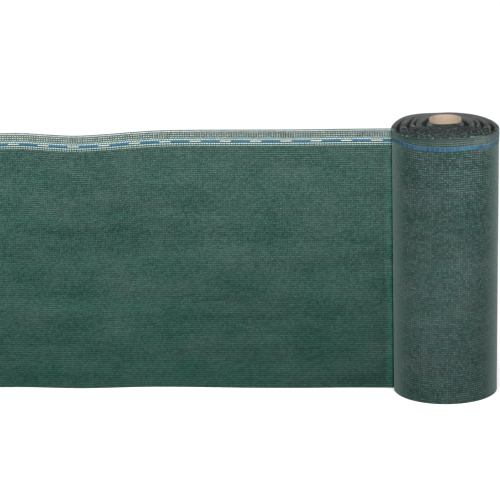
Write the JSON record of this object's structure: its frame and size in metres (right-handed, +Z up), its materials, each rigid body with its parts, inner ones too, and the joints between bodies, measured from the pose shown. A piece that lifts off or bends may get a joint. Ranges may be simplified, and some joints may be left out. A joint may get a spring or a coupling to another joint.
{
  "type": "roll of knitted shade netting with a loose length",
  "caption": "Upright roll of dark green knitted shade netting on a card core, with a loose length drawn out from its side.",
  "frame": {"origin": "middle of the footprint, on the floor that the roll and the loose length stand on", "axes": "+X along the loose length towards the roll, +Y from the shown front to the back, +Z up along the roll's core"},
  "size_m": [0.9382, 0.1956, 0.517],
  "materials": {
    "netting_green": "matt knitted polyethylene tape and yarn",
    "card_brown": "matt spiral-wound paperboard"
  },
  "bodies": {
    "root": {"core_tube": "card_brown", "netting_roll": "netting_green", "loose_length": "netting_green"}
  },
  "joints": []
}
